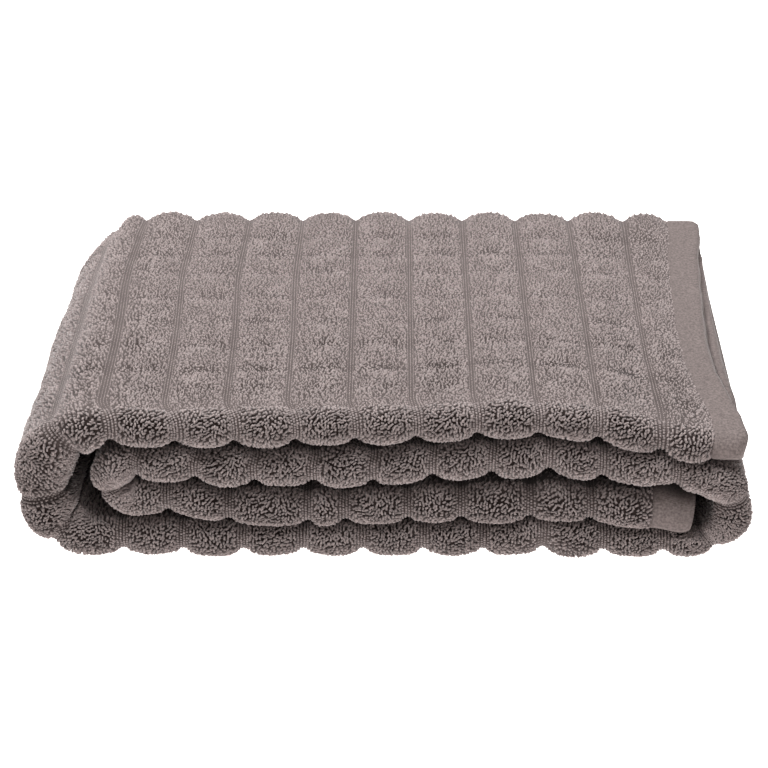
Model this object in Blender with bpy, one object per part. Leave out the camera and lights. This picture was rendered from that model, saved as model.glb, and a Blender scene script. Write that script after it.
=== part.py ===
"""A ribbed bath towel, folded in three along its length and then rolled flat in four layers."""

import math

import bmesh
import bpy

# Sizes in metres
STACK_DEPTH = 0.240
CLOTH_THICK = 0.0062
GROOVE_THICK = 0.0018
HEM_THICK = 0.0026
PLY_GAP = 0.0010
PLY_STEP = CLOTH_THICK + PLY_GAP
STACK_HALF = PLY_STEP + CLOTH_THICK / 2.0
HEM_WIDTH = 0.018
GROOVE_PULL = 0.0009
GROOVE_INSET = 0.0020
SELVEDGE_BACK = 0.0030
SELVEDGE_FRONT = 0.0200
REST_FLAT = 0.0007
STEPS_PER_LAYER = 160
STEPS_PER_BEND = 120
FRONT_ARC_POINTS = 4
BACK_ARC_POINTS = 2

# Each layer of the roll: start x, end x, middle height at its start and at its end
LAYERS = (
    ("top", 0.1720, -0.1400, 0.0752, 0.0752),
    ("bottom", -0.1400, 0.1475, STACK_HALF, STACK_HALF),
    ("second", 0.1475, -0.1220, 0.0536, 0.0536),
    ("third", -0.1220, 0.1505, 0.0320, 0.0320),
)

# Each bend between two layers: reach, squareness of its two halves, how far its inner side is pressed
BENDS = (
    ("outer left", 0.0295, 2.45, 2.45, 1.75),
    ("outer right", 0.0225, 1.95, 2.70, 0.96),
    ("inner left", 0.0118, 2.00, 2.00, 0.84),
)

# Ribs between two grooves that are easy to place: layer or bend, x on a layer or z on a bend, ribs
RIB_RUNS = (
    ("top", 0.1328, 1),
    ("top", -0.1378, 9),
    ("outer left", 0.0715, 1),
    ("outer left", 0.0385, 1),
    ("outer left", 0.0145, 1),
    ("bottom", -0.1300, 1),
    ("bottom", 0.1380, 9),
    ("outer right", 0.0140, 1),
    ("outer right", 0.0395, 1),
    ("second", 0.1396, 1),
    ("second", 0.1060, 1),
    ("second", 0.0800, 1),
    ("second", 0.0520, 1),
    ("second", -0.0350, 3),
    ("second", -0.1220, 3),
    ("third", -0.1070, 2),
    ("third", -0.0770, 1),
    ("third", -0.0380, 1),
    ("third", -0.0195, 1),
    ("third", 0.0115, 1),
    ("third", 0.0380, 1),
    ("third", 0.0710, 1),
    ("third", 0.1310, 2),
)

# Where a rib is cut across, and how much of the groove is there
RIB_CUTS = (
    (0.00, 1.00),
    (0.20, 0.13),
    (0.50, 0.00),
    (0.80, 0.13),
)

# How far the front of each layer is lifted: x, bottom, third, second, top
FRONT_LIFT = (
    (-0.200, 0.0000, 0.0000, 0.0000, 0.0000),
    (-0.160, 0.0000, 0.0000, 0.0000, -0.0010),
    (-0.130, 0.0010, 0.0020, -0.0010, -0.0025),
    (-0.106, 0.0005, 0.0016, -0.0015, -0.0039),
    (-0.072, 0.0000, -0.0050, -0.0035, -0.0030),
    (-0.038, 0.0005, -0.0058, -0.0035, -0.0022),
    (-0.006, 0.0008, -0.0045, -0.0034, -0.0014),
    (0.025, 0.0010, -0.0034, 0.0002, -0.0004),
    (0.052, 0.0010, -0.0034, 0.0024, 0.0020),
    (0.080, 0.0036, -0.0028, 0.0046, 0.0013),
    (0.105, 0.0008, -0.0040, 0.0004, 0.0000),
    (0.135, -0.0004, -0.0084, -0.0045, -0.0048),
    (0.200, -0.0006, -0.0042, -0.0048, -0.0052),
)
LIFT_LEVELS = (0.001, 0.010, 0.031, 0.053, 0.074)

# The top hem bows: y, how far it is drawn in, and how far along the cloth that reaches
HEM_BOW = (
    (-0.120, -0.0036),
    (-0.112, -0.0004),
    (-0.098, 0.0020),
    (-0.075, 0.0050),
    (-0.045, 0.0060),
    (-0.010, 0.0048),
    (0.050, 0.0010),
    (0.105, -0.0038),
)
HEM_BOW_REACH = 0.030

# How far the front of the top layer is twisted to the right: x, shift
FRONT_TWIST = (
    (-0.180, 0.0000),
    (-0.148, 0.0054),
    (-0.108, 0.0076),
    (-0.070, 0.0060),
    (0.000, 0.0038),
    (0.070, 0.0022),
    (0.125, 0.0000),
)
TWIST_FRONT = -0.098
TWIST_DEPTH = 0.022
TWIST_LOW = 0.056
TWIST_RISE = 0.012

# How far the left bend is drawn in towards its back: y, shift
LEFT_DRAWN_IN = (
    (-0.120, -0.0025),
    (0.000, 0.0000),
    (0.085, 0.0030),
    (0.120, 0.0095),
)
LEFT_START = -0.125
LEFT_REACH = 0.050

# How far the plies of the inner hem stand apart, and over what length that fades
INNER_HEM_SPREAD = 0.0026
INNER_HEM_FADE = 0.011

COTTON_COLOUR = (0.262, 0.226, 0.206, 1.0)
COTTON_ROUGHNESS = 0.95


def ease(share):
    """Gives a soft step from 0 to 1."""
    share = min(max(share, 0.0), 1.0)
    return share * share * (3.0 - 2.0 * share)


def read_table(table, at):
    """Reads a two-column table at a place, softly between its rows."""
    if at <= table[0][0]:
        return table[0][1]
    for (left, low), (right, high) in zip(table, table[1:]):
        if at <= right:
            return low + (high - low) * ease((at - left) / (right - left))
    return table[-1][1]


def layer_line(row):
    """Gives the middle line of one layer as rows of x, z, layer name, press of the inner side."""
    name, start, end, low, high = row
    line = []
    for step in range(STEPS_PER_LAYER + 1):
        share = step / STEPS_PER_LAYER
        line.append((start + (end - start) * share, low + (high - low) * share, name, 1.0))
    return line


def bend_line(row, before, after):
    """Gives the middle line of one bend, without its two ends."""
    name, reach, square_start, square_end, press = row
    side = -1.0 if before[2] < before[1] else 1.0
    middle = (before[4] + after[3]) / 2.0
    half = (before[4] - after[3]) / 2.0
    line = []
    for step in range(1, STEPS_PER_BEND):
        turn = math.pi * step / STEPS_PER_BEND
        power = 2.0 / (square_start if 2 * step < STEPS_PER_BEND else square_end)
        across = math.sin(turn) ** power
        rise = math.copysign(abs(math.cos(turn)) ** power, math.cos(turn))
        pressed = 1.0 + (press - 1.0) * ease(2.0 * math.sin(turn))
        line.append((before[2] + side * reach * across, middle + half * rise, name, pressed))
    return line


def middle_line():
    """Joins the layers and bends into the roll's middle line, from the top hem to the inside hem."""
    line = []
    for index, row in enumerate(LAYERS):
        if index:
            line.extend(bend_line(BENDS[index - 1], LAYERS[index - 1], row))
        line.extend(layer_line(row))
    return line


def front_lift(x, z):
    """Gives how far the front is lifted at an x, softly between the levels of the layers."""
    lifts = [read_table([(row[0], row[layer]) for row in FRONT_LIFT], x) for layer in (1, 2, 3, 4)]
    return read_table(list(zip(LIFT_LEVELS, [0.0, *lifts])), z)


class Roll:
    """The roll's middle line, measured along the outermost of the three plies."""

    def __init__(self):
        self.line = middle_line()
        self.normals = []
        self.lengths = [0.0]
        last = len(self.line) - 1
        for index in range(last + 1):
            before = self.line[max(index - 1, 0)]
            after = self.line[min(index + 1, last)]
            run_x = after[0] - before[0]
            run_z = after[1] - before[1]
            size = math.hypot(run_x, run_z)
            self.normals.append((run_z / size, -run_x / size))
        for index in range(last):
            here = self.outer_point(index)
            there = self.outer_point(index + 1)
            step = math.hypot(there[0] - here[0], there[1] - here[1])
            self.lengths.append(self.lengths[-1] + step)

    def outer_point(self, index):
        """Gives the outermost ply's own middle at one step of the line."""
        x, z = self.line[index][:2]
        side_x, side_z = self.normals[index]
        return x + side_x * PLY_STEP, z + side_z * PLY_STEP

    def length_at(self, layer, place):
        """Gives the length along the cloth where a layer passes an x, or a bend passes a z."""
        column = 1 if layer in [row[0] for row in BENDS] else 0
        near = None
        for index, row in enumerate(self.line):
            if row[2] == layer and (near is None or abs(row[column] - place) < abs(self.line[near][column] - place)):
                near = index
        return self.lengths[near]

    def at(self, length):
        """Gives x, z, the normal's x and z, and the press at a length along the cloth."""
        length = min(max(length, 0.0), self.lengths[-1])
        low = 0
        high = len(self.lengths) - 1
        while high - low > 1:
            half = (low + high) // 2
            if self.lengths[half] <= length:
                low = half
            else:
                high = half
        share = (length - self.lengths[low]) / (self.lengths[high] - self.lengths[low])
        one = (*self.line[low][:2], *self.normals[low], self.line[low][3])
        two = (*self.line[high][:2], *self.normals[high], self.line[high][3])
        return tuple(a + (b - a) * share for a, b in zip(one, two))


def stations(roll):
    """Lists every cut across the cloth: length, share of the groove, whether it is hem."""
    cuts = [(0.0, 0.0, True), (HEM_WIDTH - 0.0015, 0.0, True)]
    start = HEM_WIDTH
    for layer, place, ribs in RIB_RUNS:
        end = roll.length_at(layer, place)
        for rib in range(ribs):
            for phase, groove in RIB_CUTS:
                cuts.append((start + (end - start) * (rib + phase) / ribs, groove, False))
        start = end
    cuts.append((start, 1.0, False))
    cuts.append((start + 0.0015, 0.0, True))
    cuts.append((roll.lengths[-1], 0.0, True))
    return cuts


def arc(centre_y, centre_h, radius, start, end, count):
    """Gives the points inside an arc, its two ends left out."""
    points = []
    for step in range(1, count + 1):
        turn = math.radians(start + (end - start) * step / (count + 1))
        points.append((centre_y + radius * math.cos(turn), centre_h + radius * math.sin(turn)))
    return points


def section(groove, hem, spread):
    """Gives the outline of the cloth folded in three: y across the stack, h through its layers."""
    thick = HEM_THICK if hem else CLOTH_THICK + (GROOVE_THICK - CLOTH_THICK) * groove
    half = thick / 2.0
    ply = PLY_STEP - (GROOVE_PULL * groove if not hem else GROOVE_PULL) + spread
    inset = GROOVE_INSET * (groove if not hem else 0.6)
    front = -STACK_DEPTH / 2.0 + STACK_HALF + inset
    back = STACK_DEPTH / 2.0 - (PLY_STEP + CLOTH_THICK) / 2.0 - inset
    free_back = STACK_DEPTH / 2.0 - SELVEDGE_BACK
    free_front = -STACK_DEPTH / 2.0 + SELVEDGE_FRONT
    outside = [(free_back, -ply - half), (front, -ply - half)]
    outside += arc(front, 0.0, ply + half, 270.0, 90.0, FRONT_ARC_POINTS)
    outside += [(front, ply + half), (back, ply + half)]
    outside += arc(back, ply / 2.0, ply / 2.0 + half, 90.0, -90.0, BACK_ARC_POINTS)
    outside += [(back, -half), (free_front, -half)]
    inside = [(free_back, -ply + half), (front, -ply + half)]
    inside += arc(front, 0.0, ply - half, 270.0, 90.0, FRONT_ARC_POINTS)
    inside += [(front, ply - half), (back, ply - half)]
    inside += arc(back, ply / 2.0, ply / 2.0 - half, 90.0, -90.0, BACK_ARC_POINTS)
    inside += [(back, half), (free_front, half)]
    return outside + inside[::-1]


def place(roll, length, y, height):
    """Puts one point of a section in the roll, with the bow of the top hem and the front's twist and lift."""
    bow = read_table(HEM_BOW, y) * (1.0 - ease((length - HEM_WIDTH) / HEM_BOW_REACH))
    x, z, side_x, side_z, press = roll.at(length)
    if height < 0.0:
        height *= press
    x += side_x * height - bow
    z += side_z * height
    twist = read_table(FRONT_TWIST, x) * ease((TWIST_FRONT - y) / TWIST_DEPTH)
    x += twist * ease((z - TWIST_LOW) / TWIST_RISE)
    x += read_table(LEFT_DRAWN_IN, y) * ease((LEFT_START - x) / LEFT_REACH)
    front = 0.5 - y / STACK_DEPTH
    z += front_lift(x, z) * front
    if z < REST_FLAT:
        z = 0.0
    return x, y, z


def build_towel():
    """Lofts the folded section along the roll as one closed solid."""
    roll = Roll()
    mesh = bmesh.new()
    rings = []
    for length, groove, hem in stations(roll):
        spread = INNER_HEM_SPREAD * (1.0 - ease((roll.lengths[-1] - HEM_WIDTH - length) / INNER_HEM_FADE))
        outline = section(groove, hem, spread)
        rings.append([mesh.verts.new(place(roll, length, y, h)) for y, h in outline])
    corners = [corner.co.x for ring in rings for corner in ring]
    middle = (min(corners) + max(corners)) / 2.0
    for ring in rings:
        for corner in ring:
            corner.co.x -= middle
    count = len(rings[0])
    for one, two in zip(rings, rings[1:]):
        for index in range(count):
            after = (index + 1) % count
            mesh.faces.new((one[index], one[after], two[after], two[index]))
    for ring in (rings[0], rings[-1]):
        for index in range(count // 2 - 1):
            across = count - 1 - index
            mesh.faces.new((ring[index], ring[index + 1], ring[across - 1], ring[across]))
    bmesh.ops.recalc_face_normals(mesh, faces=mesh.faces)
    bmesh.ops.triangulate(mesh, faces=mesh.faces)
    data = bpy.data.meshes.new("towel")
    mesh.to_mesh(data)
    mesh.free()
    data.polygons.foreach_set("use_smooth", [True] * len(data.polygons))
    towel = bpy.data.objects.new("towel", data)
    bpy.context.scene.collection.objects.link(towel)
    return towel


def cotton():
    """Makes the matt grey-brown cotton of the towel."""
    material = bpy.data.materials.new("cotton")
    material.use_nodes = True
    shader = material.node_tree.nodes["Principled BSDF"]
    shader.inputs["Base Color"].default_value = COTTON_COLOUR
    shader.inputs["Roughness"].default_value = COTTON_ROUGHNESS
    return material


def main():
    """Clears the scene and builds the towel."""
    for old in list(bpy.data.objects):
        bpy.data.objects.remove(old, do_unlink=True)
    towel = build_towel()
    towel.data.materials.append(cotton())


main()
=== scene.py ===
"""A ribbed cotton bath towel, folded in three and rolled flat, with its terry pile and woven hems."""

import logging
import math
from collections.abc import Sequence
from dataclasses import dataclass
from enum import Enum
from typing import ClassVar

import bpy
import numpy as np
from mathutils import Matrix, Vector


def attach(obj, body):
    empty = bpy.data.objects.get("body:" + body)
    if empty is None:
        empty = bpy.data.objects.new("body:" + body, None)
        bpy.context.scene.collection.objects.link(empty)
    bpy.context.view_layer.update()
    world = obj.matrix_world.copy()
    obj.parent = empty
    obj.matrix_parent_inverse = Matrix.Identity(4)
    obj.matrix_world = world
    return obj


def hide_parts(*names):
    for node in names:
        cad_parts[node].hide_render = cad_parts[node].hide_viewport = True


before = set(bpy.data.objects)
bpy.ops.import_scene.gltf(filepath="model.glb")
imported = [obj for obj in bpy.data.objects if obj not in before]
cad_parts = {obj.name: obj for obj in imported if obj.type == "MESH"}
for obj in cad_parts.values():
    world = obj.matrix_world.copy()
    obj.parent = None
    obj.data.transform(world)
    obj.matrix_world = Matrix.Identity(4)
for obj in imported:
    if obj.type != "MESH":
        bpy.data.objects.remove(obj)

MM = 0.001
SEED = 20

# Keeps a length of nothing from being divided by
TINY = 1e-12

# How wide one band of Blender's wave texture is at a scale of 1
WAVE_BAND = 0.314

# How light the painted shade at the loops' roots is where the pile lies close, from 0 for its darkest to 1
# for its tips
ROOT_SHUT = 0.26

# Every table is in metres, but for shares and counts.
# Each layer of the roll: start x, end x, middle height at its start and at its end
LAYERS: tuple[tuple[str, float, float, float, float], ...] = (
    ("top", 0.1720, -0.1400, 0.0752, 0.0752),
    ("bottom", -0.1400, 0.1475, 0.0103, 0.0103),
    ("second", 0.1475, -0.1220, 0.0536, 0.0536),
    ("third", -0.1220, 0.1505, 0.0320, 0.0320),
)

# Each bend between two layers: reach, squareness of its two halves, how far its inner side is pressed
BENDS: tuple[tuple[str, float, float, float, float], ...] = (
    ("outer left", 0.0295, 2.00, 2.65, 1.75),
    ("outer right", 0.0240, 1.95, 2.70, 0.96),
    ("inner left", 0.0118, 2.00, 2.00, 0.84),
)

# Ribs between two grooves that are easy to place: layer or bend, x on a layer or z on a bend, ribs
RIB_RUNS: tuple[tuple[str, float, int], ...] = (
    ("top", 0.1328, 1),
    ("top", -0.1378, 9),
    ("outer left", 0.0705, 1),
    ("outer left", 0.0345, 1),
    ("outer left", 0.0145, 1),
    ("bottom", -0.1300, 1),
    ("bottom", 0.1380, 9),
    ("outer right", 0.0140, 1),
    ("outer right", 0.0395, 1),
    ("second", 0.1428, 1),
    ("second", 0.1060, 1),
    ("second", 0.0800, 1),
    ("second", 0.0520, 1),
    ("second", -0.0350, 3),
    ("second", -0.1220, 3),
    ("third", -0.1070, 2),
    ("third", -0.0770, 1),
    ("third", -0.0380, 1),
    ("third", -0.0195, 1),
    ("third", 0.0115, 1),
    ("third", 0.0380, 1),
    ("third", 0.0710, 1),
    ("third", 0.1310, 2),
)

# How far the front of each layer is lifted: x, bottom, third, second, top
FRONT_LIFT: tuple[tuple[float, float, float, float, float], ...] = (
    (-0.200, 0.0000, 0.0000, 0.0000, 0.0000),
    (-0.165, 0.0000, 0.0000, -0.0010, -0.0030),
    (-0.130, 0.0010, 0.0020, -0.0010, -0.0028),
    (-0.106, 0.0005, 0.0016, -0.0015, -0.0039),
    (-0.072, 0.0000, -0.0050, -0.0035, -0.0030),
    (-0.038, 0.0005, -0.0058, -0.0035, -0.0022),
    (-0.006, 0.0008, -0.0045, -0.0034, -0.0014),
    (0.025, 0.0010, -0.0034, 0.0002, -0.0004),
    (0.052, 0.0010, -0.0034, 0.0024, 0.0020),
    (0.080, 0.0060, -0.0028, 0.0046, 0.0013),
    (0.105, 0.0008, -0.0040, 0.0004, -0.0008),
    (0.132, -0.0004, -0.0080, -0.0010, -0.0084),
    (0.149, -0.0012, -0.0118, -0.0062, -0.0126),
    (0.165, -0.0020, -0.0080, -0.0076, -0.0146),
    (0.200, -0.0010, -0.0034, -0.0040, -0.0146),
)

# The heights at which the floor and then each layer's lift hold in full
LIFT_LEVELS: tuple[float, ...] = (0.001, 0.010, 0.031, 0.053, 0.074)

# How far the top hem bows: y, how far its edge is drawn in, how far its seam with the terry is
HEM_BOW: tuple[tuple[float, float, float], ...] = (
    (-0.120, -0.0050, -0.0056),
    (-0.098, -0.0032, -0.0060),
    (-0.072, 0.0015, -0.0017),
    (-0.060, 0.0039, 0.0000),
    (-0.047, 0.0060, 0.0021),
    (-0.021, 0.0068, 0.0025),
    (0.005, 0.0055, 0.0019),
    (0.033, 0.0035, 0.0008),
    (0.062, 0.0011, -0.0007),
    (0.105, -0.0044, -0.0048),
)

# How far the front of the top layer is twisted to the right: x, shift
FRONT_TWIST: tuple[tuple[float, float], ...] = (
    (-0.180, -0.0015),
    (-0.162, -0.0035),
    (-0.149, 0.0020),
    (-0.138, 0.0064),
    (-0.108, 0.0076),
    (-0.070, 0.0060),
    (0.000, 0.0038),
    (0.070, 0.0022),
    (0.125, 0.0000),
)

# How far the left bend is drawn in towards its back: y, shift
LEFT_DRAWN_IN: tuple[tuple[float, float], ...] = (
    (-0.120, -0.0025),
    (0.000, 0.0000),
    (0.085, 0.0030),
    (0.120, 0.0095),
)

# How far the lower plies of the top hem reach past the outer one: y, reach of each ply
PLY_REACH: tuple[tuple[float, float], ...] = (
    (-0.120, -0.0022),
    (-0.098, 0.0000),
    (-0.085, 0.0036),
    (-0.072, 0.0066),
    (-0.060, 0.0084),
    (-0.034, 0.0092),
    (-0.008, 0.0088),
    (0.019, 0.0076),
    (0.047, 0.0055),
    (0.085, 0.0026),
    (0.120, 0.0000),
)

# Where the pile of the top lies lower and opens in a row across the ribs: y, depth in mm, how far it opens
DIMPLE_ROWS: tuple[tuple[float, float, float], ...] = (
    (0.0845, 0.8, 0.40),
    (0.0630, 0.9, 0.45),
    (0.0400, 0.8, 0.40),
    (0.0100, 0.9, 0.45),
    (-0.0165, 0.9, 0.55),
    (-0.0430, 1.1, 0.95),
    (-0.0690, 1.2, 1.00),
    (-0.0880, 0.5, 0.85),
)


def linear(colour: str) -> tuple[float, float, float, float]:
    """Turns an sRGB hex colour into linear red, green, blue and alpha.

    Args:
        colour: Six hex digits.

    Returns:
        Four numbers from 0 to 1.
    """
    parts = [int(colour[at : at + 2], 16) / 255 for at in (0, 2, 4)]
    toned = [part / 12.92 if part <= 0.04045 else ((part + 0.055) / 1.055) ** 2.4 for part in parts]
    return toned[0], toned[1], toned[2], 1.0


def ease(share: np.ndarray) -> np.ndarray:
    """Gives a soft step from 0 to 1.

    Args:
        share: How far along the step each value is.

    Returns:
        The softened values, held between 0 and 1.
    """
    held = np.clip(share, 0.0, 1.0)
    return held * held * (3.0 - 2.0 * held)


def unit(ways: np.ndarray) -> np.ndarray:
    """Gives ways of length one.

    Args:
        ways: Rows of x, y and z.

    Returns:
        The same ways, each with a length of one.
    """
    return ways / (np.linalg.norm(ways, axis=-1)[..., None] + TINY)


def rounded(share: np.ndarray) -> np.ndarray:
    """Gives how far a rounded corner falls back, from 0 at its start to 1 at its end.

    Args:
        share: How far along the corner each place is.

    Returns:
        The share of the corner's size at each place.
    """
    return 1.0 - np.sqrt(1.0 - share**2)


def bump(away: np.ndarray, reach: float) -> np.ndarray:
    """Gives a soft bump, 1 at its middle and fading to 0.

    Args:
        away: How far each place is from the bump's middle.
        reach: How far out the bump has fallen to about a third.

    Returns:
        The bump's share at each place.
    """
    return np.exp(-((away / reach) ** 2))


def read_table(table: Sequence[tuple[float, float]], at: np.ndarray) -> np.ndarray:
    """Reads a two-column table at many places, softly between its rows.

    Args:
        table: Rows of place and value, in rising order of place.
        at: The places.

    Returns:
        The value at each place.
    """
    places = np.array([row[0] for row in table])
    values = np.array([row[1] for row in table])
    low = np.clip(np.searchsorted(places, at, side="right") - 1, 0, len(table) - 2)
    share = (at - places[low]) / (places[low + 1] - places[low])
    return values[low] + (values[low + 1] - values[low]) * ease(share)


def front_lift(x: np.ndarray, z: np.ndarray) -> np.ndarray:
    """Gives how far the front is lifted, softly between the levels of the layers.

    Args:
        x: The places along the stack.
        z: The heights.

    Returns:
        The lift at each place.
    """
    lifts = [read_table([(row[0], row[layer]) for row in FRONT_LIFT], x) for layer in (1, 2, 3, 4)]
    lifts = [np.zeros_like(x), *lifts]
    lift = np.zeros_like(x)
    for low, high, under, over in zip(LIFT_LEVELS, LIFT_LEVELS[1:], lifts, lifts[1:]):
        here = (z > low) & (z <= high)
        lift = np.where(here, under + (over - under) * ease((z - low) / (high - low)), lift)
    return np.where(z > LIFT_LEVELS[-1], lifts[-1], lift)


def waves(along: np.ndarray, across: np.ndarray, size: float, phase: float) -> np.ndarray:
    """Gives a slow unevenness from a few crossed waves.

    Args:
        along: Place along the cloth.
        across: Place across the cloth.
        size: The length of the waves in metres.
        phase: Shifts the waves.

    Returns:
        Values from about -1 to 1.
    """
    turn = 2.0 * math.pi / size
    # The two sets of waves cross and bend each other, so nothing repeats that the eye could follow
    first = np.sin(along * turn + 1.3 * np.sin(across * turn * 0.61 + phase) + phase)
    second = np.sin(across * turn * 0.83 + 1.7 * np.sin(along * turn * 0.47 + 2.0 * phase))
    return 0.6 * first + 0.4 * second


class Part(Enum):
    """The stretches of the folded cloth's outline, in the order in which they follow each other."""

    INNER_PLY_OUT = 0
    FRONT_FOLD = 1
    OUTER_PLY_OUT = 2
    BACK_FOLD = 3
    MIDDLE_PLY_UNDER = 4
    FRONT_SELVEDGE = 5
    MIDDLE_PLY_OVER = 6
    BACK_FOLD_INSIDE = 7
    OUTER_PLY_IN = 8
    FRONT_FOLD_INSIDE = 9
    INNER_PLY_IN = 10
    BACK_SELVEDGE = 11


# The stretches on the outside of each layer
OUTSIDE = (Part.FRONT_FOLD.value, Part.OUTER_PLY_OUT.value, Part.BACK_FOLD.value)


class LoopForm(Enum):
    """How much of a terry loop is modelled."""

    ARCH = "arch"
    NUB = "nub"


@dataclass(frozen=True)
class ClothSizes:
    """Sizes of the towel's cloth and of the stack it is folded into, in metres."""

    depth: float = 0.240
    thick: float = 0.0062
    groove_thick: float = 0.0018
    hem_thick: float = 0.0026
    hem_step: float = 0.0008
    hem_inset_share: float = 0.6
    ply_step: float = 0.0072
    hem_width: float = 0.018
    groove_pull: float = 0.0009
    groove_inset: float = 0.0020
    selvedge_back: float = 0.0030
    selvedge_front: float = 0.0200
    hem_bow_reach: float = 0.030
    twist_front: float = -0.098
    twist_depth: float = 0.022
    twist_low: float = 0.056
    twist_rise: float = 0.012
    rib_bow: float = 0.0023
    rib_bow_middle: float = 0.040
    rib_bow_reach: float = 0.045
    rib_bow_right: float = -0.010
    rib_bow_grow: float = 0.060
    rib_bow_left: float = -0.162
    rib_bow_fade: float = 0.020
    left_start: float = -0.125
    left_reach: float = 0.050
    hem_corner: float = 0.0048
    hem_corner_front_share: float = 0.5
    hem_corner_back: tuple[float, float] = (0.020, 0.018)
    hem_corner_front: tuple[float, float] = (0.014, 0.012)
    ply_reach_most: float = 1.12
    ply_reach_fade: float = 0.045
    inner_hem_corner: float = 0.0110
    inner_hem_lowered: float = 0.50
    inner_hem_tilt: float = 0.24
    inner_hem_tilt_reach: float = 0.045
    inner_hem_spread: float = 0.0026
    inner_hem_fade: float = 0.011
    flat_groove_share: float = 0.72
    flat_groove_fade: float = 0.08
    pile_sunk: float = 0.0009
    flat_width: float = 0.70
    flat_length: float = 1.40
    centring: float = 0.00093

    @property
    def stack_half(self) -> float:
        """Gives half the thickness of the three plies."""
        return self.ply_step + self.thick / 2.0


class Roll:
    """The roll's middle line, measured along the outermost of the three plies."""

    def __init__(self, sizes: ClothSizes, steps: int = 400) -> None:
        """Joins the layers and bends into one line.

        Args:
            sizes: The cloth's sizes.
            steps: How many steps each layer and bend has.
        """
        rows = []
        names = []
        for index, row in enumerate(LAYERS):
            if index:
                bend = self._bend(BENDS[index - 1], LAYERS[index - 1], row, steps)
                rows.extend(bend)
                names.extend([BENDS[index - 1][0]] * len(bend))
            layer = self._layer(row, steps)
            rows.extend(layer)
            names.extend([row[0]] * len(layer))
        line = np.array(rows)
        self.names = np.array(names)
        self.x = line[:, 0]
        self.z = line[:, 1]
        self.press = line[:, 2]
        run = np.gradient(line[:, :2], axis=0)
        run /= np.linalg.norm(run, axis=1)[:, None]
        self.side_x = run[:, 1]
        self.side_z = -run[:, 0]
        outer_x = self.x + self.side_x * sizes.ply_step
        outer_z = self.z + self.side_z * sizes.ply_step
        outer = np.stack((outer_x, outer_z), axis=1)
        steps_taken = np.linalg.norm(np.diff(outer, axis=0), axis=1)
        self.lengths = np.concatenate(([0.0], np.cumsum(steps_taken)))
        self.total = float(self.lengths[-1])

    @staticmethod
    def _layer(row: tuple, steps: int) -> list[tuple[float, float, float]]:
        """Gives the middle line of one layer.

        Args:
            row: The layer's row.
            steps: How many steps it has.

        Returns:
            Rows of x, z and press.
        """
        _, start, end, low, high = row
        shares = np.linspace(0.0, 1.0, steps)
        return [(start + (end - start) * share, low + (high - low) * share, 1.0) for share in shares]

    @staticmethod
    def _bend(row: tuple, before: tuple, after: tuple, steps: int) -> list[tuple[float, float, float]]:
        """Gives the middle line of one bend.

        Args:
            row: The bend's row.
            before: The row of the layer before it.
            after: The row of the layer after it.
            steps: How many steps it has.

        Returns:
            Rows of x, z and press.
        """
        _, reach, square_start, square_end, press = row
        side = -1.0 if before[2] < before[1] else 1.0
        middle = (before[4] + after[3]) / 2.0
        half = (before[4] - after[3]) / 2.0
        line = []
        for step in range(1, steps):
            turn = math.pi * step / steps
            power = 2.0 / (square_start if 2 * step < steps else square_end)
            across = math.sin(turn) ** power
            rise = math.copysign(abs(math.cos(turn)) ** power, math.cos(turn))
            pressed = 1.0 + (press - 1.0) * float(ease(np.array(2.0 * math.sin(turn))))
            line.append((before[2] + side * reach * across, middle + half * rise, pressed))
        return line

    def length_at(self, layer: str, place: float) -> float:
        """Gives the length along the cloth where a layer passes an x, or a bend passes a z.

        Args:
            layer: The layer's or bend's name.
            place: The x on a layer, the z on a bend.

        Returns:
            The length from the top hem's edge, in metres.
        """
        chosen = np.nonzero(self.names == layer)[0]
        places = self.z if layer in [row[0] for row in BENDS] else self.x
        near = chosen[np.argmin(np.abs(places[chosen] - place))]
        return float(self.lengths[near])

    def at(self, length: np.ndarray) -> tuple[np.ndarray, ...]:
        """Gives x, z, the outward normal's x and z, and the press at lengths along the cloth.

        Args:
            length: The lengths from the top hem's edge.

        Returns:
            Five arrays as long as the lengths.
        """
        columns = (self.x, self.z, self.side_x, self.side_z, self.press)
        return tuple(np.interp(length, self.lengths, column) for column in columns)


class Ribs:
    """Where the grooves between the ribs are, and how deep the cloth is cut by them."""

    def __init__(self, roll: Roll, sizes: ClothSizes) -> None:
        """Places every groove.

        Args:
            roll: The roll's middle line.
            sizes: The cloth's sizes.
        """
        grooves = [sizes.hem_width]
        for layer, place, ribs in RIB_RUNS:
            end = roll.length_at(layer, place)
            start = grooves[-1]
            grooves.extend(start + (end - start) * (rib + 1) / ribs for rib in range(ribs))
        self.grooves = np.array(grooves)
        self.flat = 1.3 * MM
        self.roundness = 2.3
        self.slot_reach = 1.2 * MM
        self.slot_share = 0.12
        self.first = float(self.grooves[0])
        self.last = float(self.grooves[-1])

    def near(self, length: np.ndarray) -> tuple[np.ndarray, np.ndarray, np.ndarray]:
        """Finds the nearest groove to each length.

        Args:
            length: The lengths along the cloth.

        Returns:
            The rib's number, the signed distance to the nearest groove, and half the rib's width.
        """
        rib = np.clip(np.searchsorted(self.grooves, length, side="right") - 1, 0, len(self.grooves) - 2)
        before = length - self.grooves[rib]
        after = self.grooves[rib + 1] - length
        half = (self.grooves[rib + 1] - self.grooves[rib]) / 2.0
        return rib, np.where(before < after, before, -after), half

    def depth(self, length: np.ndarray) -> np.ndarray:
        """Gives how far the cloth is down in a groove, from 0 on a crest to 1.

        Args:
            length: The lengths along the cloth.

        Returns:
            The share of the groove at each length.
        """
        _, gap, half = self.near(length)
        beyond = np.clip(np.abs(gap) - self.flat, 0.0, None)
        round_side = np.clip(1.0 - beyond / (half - self.flat), 0.0, 1.0) ** self.roundness
        slot = bump(gap, self.slot_reach)
        return (1.0 - self.slot_share) * round_side + self.slot_share * slot


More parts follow.
